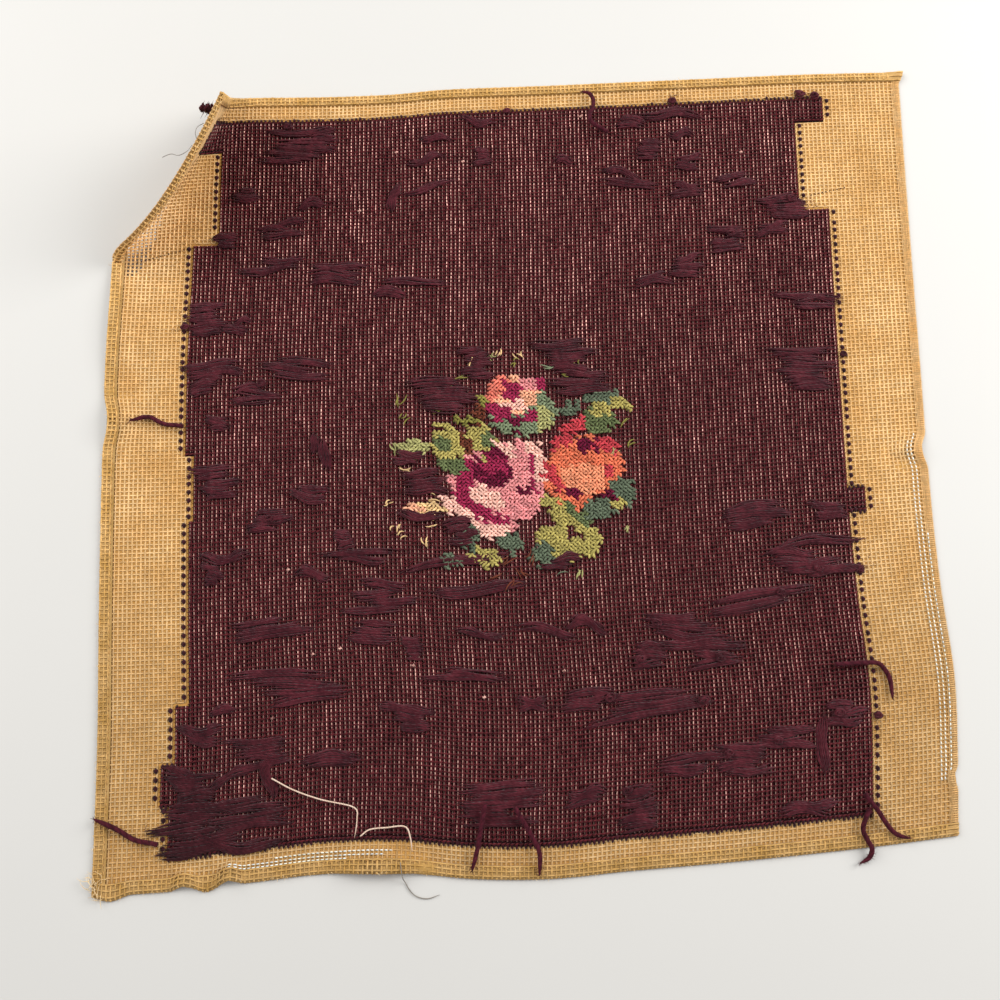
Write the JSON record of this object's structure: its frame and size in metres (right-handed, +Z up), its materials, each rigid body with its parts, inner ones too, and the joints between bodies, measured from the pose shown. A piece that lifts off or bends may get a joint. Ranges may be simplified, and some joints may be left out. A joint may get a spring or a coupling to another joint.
{
  "type": "needlepoint canvas panel",
  "caption": "Worked needlepoint chair-seat canvas lying wrong side up, with a maroon wool ground, a rose bouquet, open hemmed margins and a raised corner",
  "frame": {"origin": "middle of the underside's box, on the surface that the panel lies on", "axes": "+X to the picture's right, +Y to its top edge, +Z up through the wrong side of the work"},
  "size_m": [0.491, 0.4958, 0.0809],
  "materials": {
    "cotton_canvas": "open cotton canvas, golden tan, matte",
    "maroon_wool": "tapestry wool, maroon, matte and slightly hairy",
    "rose_wool": "tapestry wool in pinks, corals and greens, matte",
    "cream_thread": "cream cotton sewing thread",
    "grey_thread": "fine grey thread"
  },
  "bodies": {
    "root": {"canvas": "cotton_canvas", "wool_ground": "maroon_wool", "rose_bouquet": "rose_wool", "yarn_tail_left": "maroon_wool", "yarn_tail_bottom_left": "maroon_wool", "yarn_tail_right": "maroon_wool", "yarn_tail_corner_short": "maroon_wool", "yarn_tail_corner_long": "maroon_wool", "yarn_tail_bottom_low": "maroon_wool", "yarn_tail_bottom_high": "maroon_wool", "yarn_tail_top": "maroon_wool", "cream_thread_long": "cream_thread", "cream_thread_low": "cream_thread", "grey_thread": "grey_thread"}
  },
  "joints": []
}
